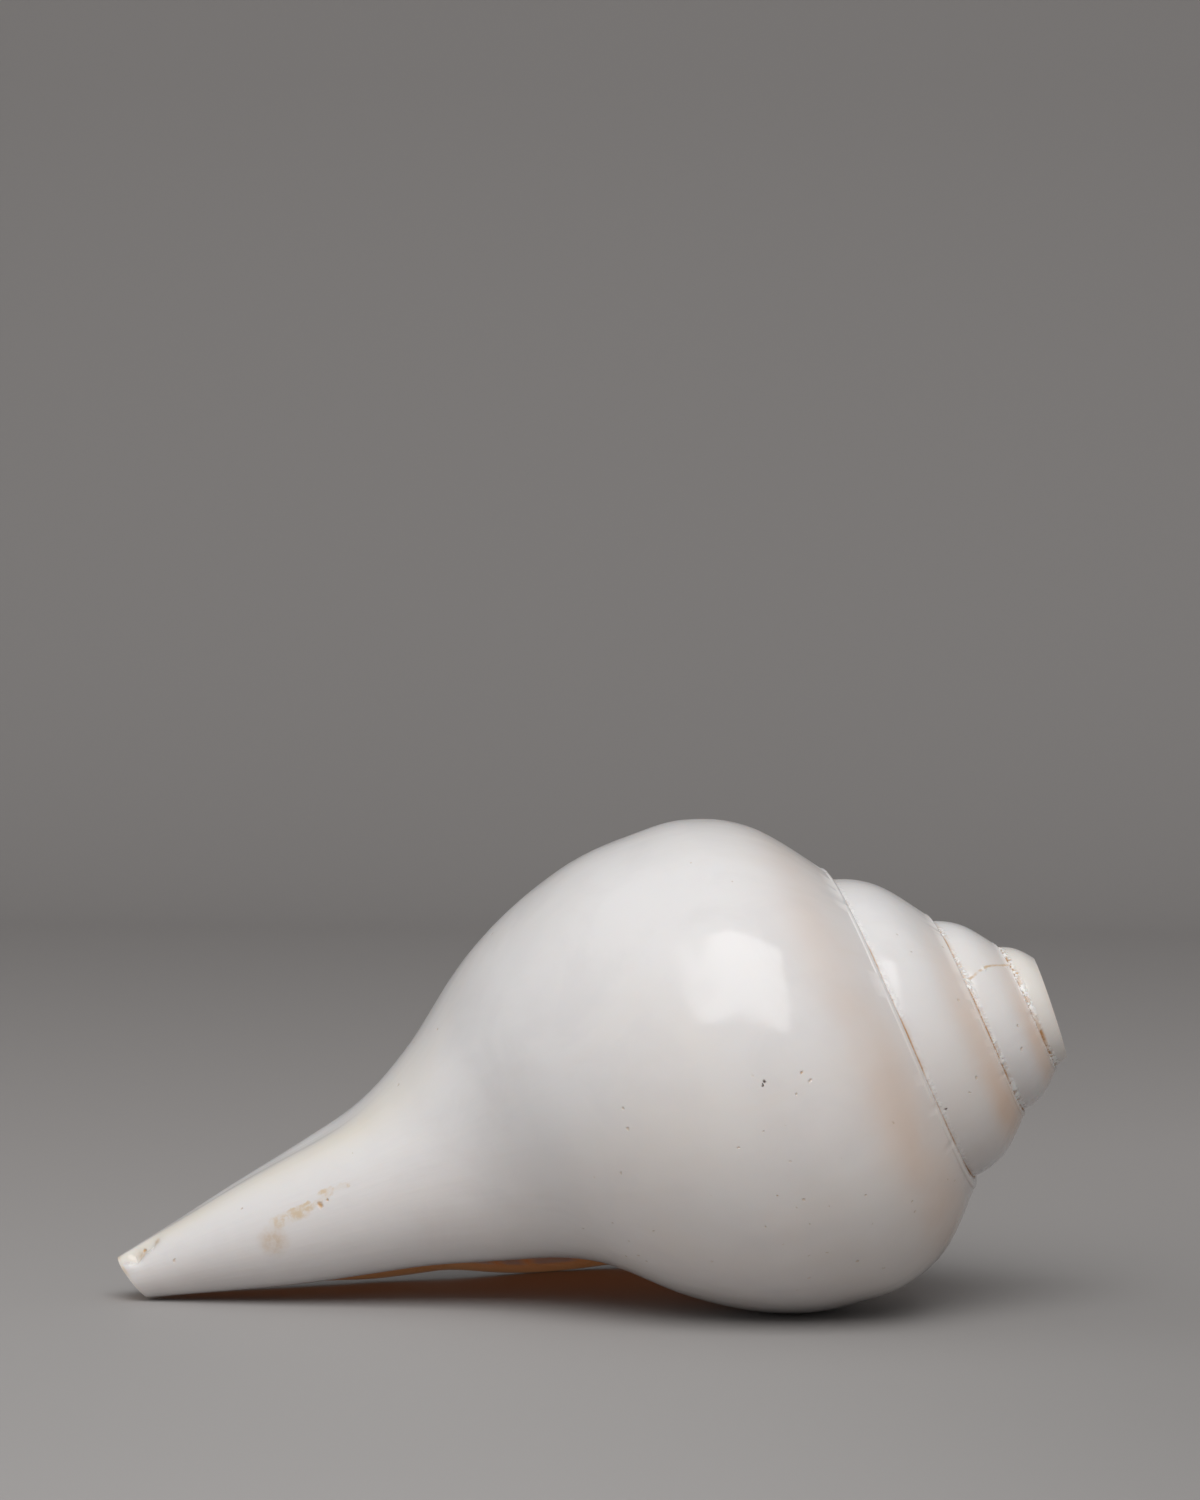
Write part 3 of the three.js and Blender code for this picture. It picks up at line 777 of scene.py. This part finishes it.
def suture_colour(n, looks, on, colour, to_world):
    """Brown stain in the suture's groove, chalk where the edge beside it has chipped, and the crack.

    Gives the colour, the stained line with the crack, and the chalk.
    """
    seam, crumb = n.mark("seam"), n.grain("crumb", on.at)
    width = n.times(n.ramp(on.patches, 0.35, 0.65, 0.12, 0.34), n.ramp(on.depth, *WIDE_LINE_DEPTHS, 1, 2.4))
    line = n.ramp(n.math("SUBTRACT", 1.0, n.math("DIVIDE", seam, width), clamp=True), 0.0, 0.7)
    line = n.times(line, n.ramp(on.patches, 0.3, 0.62, 0.35, 1.0))

    worn_run = n.ramp(on.patches, 0.66, 0.45)
    crevice = n.times(n.ramp(seam, 1.1, 0.4), n.ramp(crumb, 0.47, 0.4), worn_run)
    crevice = n.times(crevice, n.ramp(on.depth, *CHALKY_DEPTHS))
    halo = n.times(n.ramp(seam, 1.1, 0.1, 0, 0.22), n.ramp(on.patches, 0.45, 0.62))
    halo = n.most(halo, n.times(crevice, 0.45))

    chalk = n.times(n.ramp(seam, 1.25, 0.5), n.ramp(crumb, 0.45, 0.53), worn_run)
    chalk = n.times(chalk, n.ramp(on.depth, *CHALKY_DEPTHS, 0.3, 1))
    chips = n.times(spots(n, on.torn, CHALK_SPOTS, to_world, CHALK_REACH), n.ramp(on.grit, 0.42, 0.56))
    chalk = n.most(chalk, chips)
    crack = strokes(n, on.torn_fine, CRACKS, to_world)

    colour = n.colour(halo, colour, looks.stain)
    colour = n.colour(line, colour, looks.stain)
    colour = n.colour(n.times(crack, 0.85), colour, looks.tan)
    return n.colour(chalk, colour, looks.chalk), n.most(line, crack), chalk


def marked_colour(n, looks, on, colour, to_world):
    """Worn rim of the tip, blotches, scratches, pricks and pits over the colour."""
    rim = n.ramp(n.math("ABSOLUTE", n.math("SUBTRACT", n.mark("from_tip"), 0.15)), 0.7, 0.15)
    rim = n.times(rim, n.ramp(on.patches, 0.4, 0.6, 0.1, 0.75))
    blotch = spots(n, on.torn, TAN_BLOTCHES, to_world, BLOTCH_REACH)
    blotch = n.times(blotch, n.ramp(on.grit, 0.35, 0.6, 0.25, 0.6))
    scratch = n.times(strokes(n, on.torn, SCRATCHES, to_world), n.ramp(on.grit, 0.38, 0.6, 0.12, 0.75))
    for factor, tone in (
        (rim, looks.scratch),
        (blotch, looks.tan),
        (scratch, looks.scratch),
        (n.times(on.pricks, 0.5), looks.tan),
        (n.times(on.faint, 0.55), looks.tan),
        (n.times(on.orange, 0.8), looks.rust),
        (n.times(on.dark, 0.95), looks.pit),
    ):
        colour = n.colour(factor, colour, tone)
    return colour


def shell_relief(n, on, chalk):
    """Pits sink and chalk stands up, over slight growth lines, rubbed waves and broad polished planes."""
    height = n.times(n.most(on.dark, on.orange, n.times(on.faint, 0.6)), -1.0)
    height = n.math("ADD", height, n.times(chalk, 0.7))
    height = n.math("SUBTRACT", height, n.times(on.pricks, 0.4))
    height = n.math("ADD", height, n.times(on.streaks, 0.22))
    relief = n.bump(height, 0.7, 0.0003)
    relief = n.bump(n.grain("hand waves", on.at), 0.2, 0.0006, relief)
    return n.bump(n.grain("planes", on.at), 0.35, 0.0022, relief)


def shell_finish(looks, to_world):
    """Polished porcelain white, smooth and dull only where it is chalky, stained or pitted."""
    material = bpy.data.materials.new("polished_shell")
    n = Nodes(material)
    on = ShellPatterns(n, to_world)
    colour, line, chalk = suture_colour(n, looks, on, ground_colour(n, looks, on), to_world)
    colour = marked_colour(n, looks, on, colour, to_world)

    dull = n.most(chalk, line, on.orange, on.dark)
    gloss = n.grain("gloss", on.at)
    roughness = n.ramp(gloss, 0.3, 0.75, looks.polish, looks.polish + POLISH_SPREAD)
    roughness = n.math("ADD", roughness, n.times(dull, DULL_ROUGHNESS), clamp=True)
    roughness = n.math("ADD", roughness, n.times(on.inside, HOLLOW_ROUGHNESS), clamp=True)

    surface = n.add("ShaderNodeBsdfPrincipled", {
        "Base Color": colour,
        "Roughness": roughness,
        "Normal": shell_relief(n, on, chalk),
        "IOR": 1.46,
        "Specular IOR Level": 0.42,
        "Subsurface Weight": looks.translucency,
        "Subsurface Radius": (1.0, 0.62, 0.42),
        "Subsurface Scale": 0.003,
        # Painted glow: the hollow emits the glow colour, though it is no lamp, in place of light passing
        # through the walls
        "Emission Color": looks.painted_glow,
        "Emission Strength": on.inside,
    })
    n.add("ShaderNodeOutputMaterial", {"Surface": surface.outputs[0]})
    return material


def stage_finish(looks):
    """Matt grey studio sheet with a faint mottle, a little darker behind, and painted shade that darkens it
    to the right.
    """
    material = bpy.data.materials.new("studio_sheet")
    n = Nodes(material)
    at = n.add("ShaderNodeTexCoord").outputs["Object"]
    across, back = n.add("ShaderNodeSeparateXYZ", {0: at}).outputs[:2]
    darker = (*(MOTTLE_SHARE * c for c in looks.floor[:3]), 1)
    floor = n.colour(n.ramp(n.grain("sheet", at), 0.3, 0.7), looks.floor, darker)
    # Painted shade: the floor darkens toward the right
    floor = n.colour(n.ramp(across, *PAINTED_FLOOR_SHADE_RUN, 0.0, PAINTED_FLOOR_SHADE), floor, (0, 0, 0, 1))
    colour = n.colour(n.ramp(back, *BACKDROP_RUN), floor, looks.backdrop)
    inputs = {"Base Color": colour, "Roughness": 0.62, "Specular IOR Level": 0.3}
    surface = n.add("ShaderNodeBsdfPrincipled", inputs)
    n.add("ShaderNodeOutputMaterial", {"Surface": surface.outputs[0]})
    return material


# ---------------------------------------------------------------- settings


def colour_of(name, description, value):
    return FloatVectorProperty(
        name=name, description=description, default=value, subtype="COLOR", size=4, min=0, max=1)


class ShellSizes(PropertyGroup):
    """Sizes of the shell that can be changed without changing its growth."""

    blow_hole_radius: FloatProperty(
        name="Blow Hole Radius", description="Radius of the hole bored in from the cut apex",
        default=0.0045, min=0.002, max=0.006, subtype="DISTANCE", unit="LENGTH")
    blow_hole_depth: FloatProperty(
        name="Blow Hole Depth", description="Depth of the end of the bore, measured from the virtual apex",
        default=0.042, min=0.03, max=0.05, subtype="DISTANCE", unit="LENGTH")
    fold_height: FloatProperty(
        name="Fold Height", description="Height of the folds on the columella, inside the aperture",
        default=0.0013, min=0, max=0.003, subtype="DISTANCE", unit="LENGTH")
    lip_rounding: FloatProperty(
        name="Lip Rounding", description="How far the rounded edge of the outer lip bulges forward",
        default=0.0011, min=0, max=0.003, subtype="DISTANCE", unit="LENGTH")
    suture_chipping: FloatProperty(
        name="Suture Chipping", description="How deep the thin upper edges of the whorls are chipped",
        default=0.5, min=0, max=1, subtype="FACTOR")


class ShellLooks(PropertyGroup):
    """Colours and polish of the shell."""

    porcelain: colour_of("Porcelain", "Ground colour of the polished outside", (0.768, 0.757, 0.762, 1))
    cream: colour_of("Cream", "Warmer clouds and growth lines", (0.75, 0.712, 0.675, 1))
    ivory: colour_of("Ivory", "Warm band along the canal and the first whorl", (0.77, 0.725, 0.645, 1))
    milk: colour_of("Milk", "Greyer patches where the shell lets light in", (0.715, 0.702, 0.71, 1))
    peach: colour_of("Peach", "Blush beside the sutures", (0.76, 0.585, 0.475, 1))
    hollow: colour_of("Hollow", "Inside of the aperture", (0.85, 0.57, 0.36, 1))
    hollow_deep: colour_of("Hollow Clouds", "Deeper tone inside the aperture", (0.78, 0.46, 0.26, 1))
    rust: colour_of("Rust", "Small orange pits", (0.62, 0.33, 0.10, 1))
    # Painted glow: emission in the hollow that stands in for light coming through the walls
    painted_glow: colour_of("Glow", "Light that comes through the walls into the hollow", (0.042, 0.018, 0.006, 1))
    stain: colour_of("Stain", "Brown line in the sutures", (0.50, 0.27, 0.115, 1))
    chalk: colour_of("Chalk", "Chipped edges along the sutures", (0.93, 0.92, 0.90, 1))
    scratch: colour_of("Scratch", "Rubbed streaks along the canal", (0.66, 0.50, 0.31, 1))
    tan: colour_of("Tan", "Faint blotches and specks", (0.60, 0.43, 0.27, 1))
    pit: colour_of("Pit", "Deep dark pits", (0.06, 0.03, 0.018, 1))
    polish: FloatProperty(
        name="Roughness", description="Roughness of the best polished parts",
        default=0.105, min=0, max=1, subtype="FACTOR")
    translucency: FloatProperty(
        name="Translucency", description="Share of light that spreads under the surface",
        default=0.12, min=0, max=1, subtype="FACTOR")


class StageLooks(PropertyGroup):
    """Studio sheet, lights and camera."""

    floor: colour_of("Floor", "Sheet under and in front of the shell", (0.39, 0.378, 0.374, 1))
    backdrop: colour_of("Backdrop", "Sheet behind the shell", (0.395, 0.378, 0.373, 1))
    key_power: FloatProperty(
        name="Key Power", description="Power of the softbox above and in front",
        default=10.0, min=0, max=100, unit="POWER")
    key_size: FloatProperty(
        name="Key Size", description="Side of the square softbox",
        default=0.90, min=0.1, max=3, subtype="DISTANCE", unit="LENGTH")
    room_light: FloatProperty(
        name="Room Light", description="Strength of the even light from all round",
        default=0.40, min=0, max=5)
    lens: FloatProperty(
        name="Lens", description="Focal length of the camera",
        default=100.0, min=20, max=300, unit="CAMERA")


# ---------------------------------------------------------------- pieces


class CONCH_OT_grow_shell(Operator):
    """Grow the shell, bore its blow hole and give it its polish and markings"""

    bl_idname = "conch.grow_shell"
    bl_label = "Grow Shell"
    bl_options = {"REGISTER", "UNDO"}

    def execute(self, context):
        scene = context.scene
        axes = shell_axes()
        points, faces, marks = shell_surface(scene.conch_sizes)
        laid = points @ axes
        low, high = laid.min(0), laid.max(0)
        offset = -np.array(((low[0] + high[0]) / 2, (low[1] + high[1]) / 2, low[2]))

        def to_world(shell_points):
            return (shell_points @ axes + offset) * MM

        solid = closed_mesh("conch", laid + offset, faces, marks)
        plug_points = blow_hole_plug(scene.conch_sizes)
        plug = Skin()
        plug.add(plug_points, {"seam": np.zeros(plug_points.shape[:2])})
        cutter_points, cutter_faces, _ = plug.gathered()
        cutter = closed_mesh("blow_hole_plug", cutter_points @ axes + offset, cutter_faces, {})
        conch = bored_mesh("conch", solid, cutter)
        add_growth_marks(conch.data, axes, offset)
        conch.data.polygons.foreach_set("use_smooth", np.ones(len(conch.data.polygons), bool))
        conch.data.set_sharp_from_angle(angle=math.radians(SHARP_ANGLE))
        conch.data.materials.clear()
        conch.data.materials.append(shell_finish(scene.conch_looks, to_world))
        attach(conch, "root")
        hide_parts("shell")
        return {"FINISHED"}


def add_growth_marks(mesh, axes, offset):
    """Attributes from each point's place.

    They are its direction round the axis, its depth, its distance from the tip's facet, and how peach and
    how warm it is.
    """
    count = len(mesh.vertices)
    co = np.empty(count * 3, np.float32)
    mesh.vertices.foreach_get("co", co)
    own = (co.reshape(-1, 3) / MM - offset) @ axes.T
    depth = own[:, 2]
    angle = np.arctan2(own[:, 1] - centre_line(depth), own[:, 0])
    around = np.stack((np.cos(angle), np.sin(angle), depth / GROWTH_LENGTH), -1)
    growth = mesh.attributes.new("growth", "FLOAT_VECTOR", "POINT")
    growth.data.foreach_set("vector", around.astype(np.float32).ravel())
    marks = {}
    for name in ("turns", "shoulder", "inside"):
        values = np.empty(count, np.float32)
        mesh.attributes[name].data.foreach_get("value", values)
        marks[name] = values
    last = marks["turns"] > -1
    middle, spread = (np.where(last, *pair) for pair in zip(PEACH_LAST, PEACH_SPIRE))
    beside = np.exp(-(((marks["shoulder"] - middle) / spread) ** 2))
    low_side = 0.5 + 0.5 * np.cos(2 * math.pi * (marks["turns"] + PEACH_LOW_TURN))
    peach = beside * np.where(last, 0.14 + 0.4 * low_side, 0.1 + 0.95 * low_side ** 3)
    peach = (peach + 0.2 * low_side ** 4 * (marks["shoulder"] > 0)) * (1 - marks["inside"])
    along = np.exp(-(((marks["turns"] - IVORY_TURN) / IVORY_SPREAD) ** 2))
    along = along * smoothstep(depth, IVORY_START, IVORY_FULL)
    first = smoothstep(marks["turns"], *IVORY_SPIRE_TURNS) * IVORY_SPIRE_SHARE
    from_tip = TIP_DEPTH - math.tan(math.radians(TIP_TILT)) * (own[:, 1] + CANAL_BEND) - depth
    warm = np.maximum(along, first) * (1 - marks["inside"])
    for name, values in (("depth", depth), ("peach", peach), ("warm", warm), ("from_tip", from_tip)):
        attribute = mesh.attributes.new(name, "FLOAT", "POINT")
        attribute.data.foreach_set("value", values.astype(np.float32))


def studio_sheet():
    """Floor that sweeps up into a backdrop: a flat run, a quarter circle and a rise, carried sideways."""
    quarter = np.linspace(0, math.pi / 2, 25)
    wall = SHEET_FLAT + SHEET_BEND
    y = np.concatenate(((-SHEET_HALF, -1.0, 0.0), SHEET_FLAT + SHEET_BEND * np.sin(quarter), (wall,)))
    z = np.concatenate(((0.0, 0.0, 0.0), SHEET_BEND * (1 - np.cos(quarter)), (SHEET_HEIGHT,)))
    x = np.linspace(-SHEET_HALF, SHEET_HALF, 9)[:, None]
    points = np.stack((x * np.ones_like(y), y * np.ones_like(x), z * np.ones_like(x)), -1)
    skin = Skin()
    skin.add(points, {"seam": np.zeros(points.shape[:2])})
    made, faces, _ = skin.gathered()
    mesh = bpy.data.meshes.new("studio_sheet")
    mesh.from_pydata(made.tolist(), [], faces.tolist())
    mesh.polygons.foreach_set("use_smooth", np.ones(len(mesh.polygons), bool))
    return mesh


def hang_softbox(scene, looks):
    """A square area light in front and above, at its distance and rise from the origin, facing the shell."""
    light = bpy.data.lights.new("key_softbox", "AREA")
    light.shape, light.size = "SQUARE", looks.key_size
    light.energy, light.color = looks.key_power, LAMP_COLOUR
    lamp = bpy.data.objects.new("key_softbox", light)
    rise = math.radians(KEY_RISE)
    lamp.location = (SHELL_MIDDLE[0], -KEY_DISTANCE * math.cos(rise), KEY_DISTANCE * math.sin(rise))
    lamp.rotation_euler = (Vector(SHELL_MIDDLE) - lamp.location).to_track_quat("-Z", "Y").to_euler()
    scene.collection.objects.link(lamp)


def light_room(scene, looks):
    """Even light from all round, a little stronger from the left."""
    scene.world = bpy.data.worlds.new("room")
    n = Nodes(scene.world)
    direction = n.add("ShaderNodeTexCoord").outputs["Generated"]
    sideways = n.add("ShaderNodeSeparateXYZ", {0: direction}).outputs["X"]
    strength = n.times(n.math("MULTIPLY_ADD", sideways, -ROOM_TILT, 1.0), looks.room_light)
    backing = n.add("ShaderNodeBackground", {"Color": (*LAMP_COLOUR, 1), "Strength": strength})
    n.add("ShaderNodeOutputWorld", {"Surface": backing.outputs[0]})


def place_camera(scene, looks):
    """The camera level but for its pitch down, and turned by its roll."""
    camera = bpy.data.cameras.new("camera")
    camera.lens, camera.sensor_width, camera.sensor_fit = looks.lens, CAMERA_SENSOR, "AUTO"
    camera.clip_start, camera.clip_end = CAMERA_NEAR, CAMERA_FAR
    eye = bpy.data.objects.new("camera", camera)
    tilt = Matrix.Rotation(math.radians(90 - CAMERA_PITCH), 4, "X")
    roll = Matrix.Rotation(math.radians(CAMERA_ROLL), 4, "Z")
    eye.matrix_world = Matrix.Translation(CAMERA_PLACE) @ tilt @ roll
    scene.collection.objects.link(eye)
    scene.camera = eye


class CONCH_OT_set_stage(Operator):
    """Lay the studio sheet, hang the lights and place the camera"""

    bl_idname = "conch.set_stage"
    bl_label = "Set Stage"
    bl_options = {"REGISTER", "UNDO"}

    def execute(self, context):
        scene = context.scene
        looks = scene.conch_stage
        sheet = bpy.data.objects.new("studio_sheet", studio_sheet())
        scene.collection.objects.link(sheet)
        sheet.data.materials.append(stage_finish(looks))
        hang_softbox(scene, looks)
        light_room(scene, looks)
        place_camera(scene, looks)
        scene.view_settings.view_transform = "Standard"
        scene.view_settings.look = "None"
        return {"FINISHED"}


class CONCH_PT_panel(Panel):
    """Settings and steps of the conch shell"""

    bl_idname = "CONCH_PT_panel"
    bl_label = "Conch Shell"
    bl_space_type = "VIEW_3D"
    bl_region_type = "UI"
    bl_category = "Conch"

    def draw(self, context):
        layout = self.layout
        layout.operator(CONCH_OT_grow_shell.bl_idname)
        layout.operator(CONCH_OT_set_stage.bl_idname)
        for group in (context.scene.conch_sizes, context.scene.conch_looks, context.scene.conch_stage):
            box = layout.box()
            for name in group.bl_rna.properties.keys():
                if name not in ("rna_type", "name"):
                    box.prop(group, name)


CLASSES = (ShellSizes, ShellLooks, StageLooks, CONCH_OT_grow_shell, CONCH_OT_set_stage, CONCH_PT_panel)


def register():
    for cls in CLASSES:
        bpy.utils.register_class(cls)
    bpy.types.Scene.conch_sizes = PointerProperty(type=ShellSizes)
    bpy.types.Scene.conch_looks = PointerProperty(type=ShellLooks)
    bpy.types.Scene.conch_stage = PointerProperty(type=StageLooks)


def unregister():
    del bpy.types.Scene.conch_stage
    del bpy.types.Scene.conch_looks
    del bpy.types.Scene.conch_sizes
    for cls in reversed(CLASSES):
        bpy.utils.unregister_class(cls)


def main():
    register()
    bpy.ops.conch.grow_shell()
    bpy.ops.conch.set_stage()


if __name__ == "__main__":
    main()
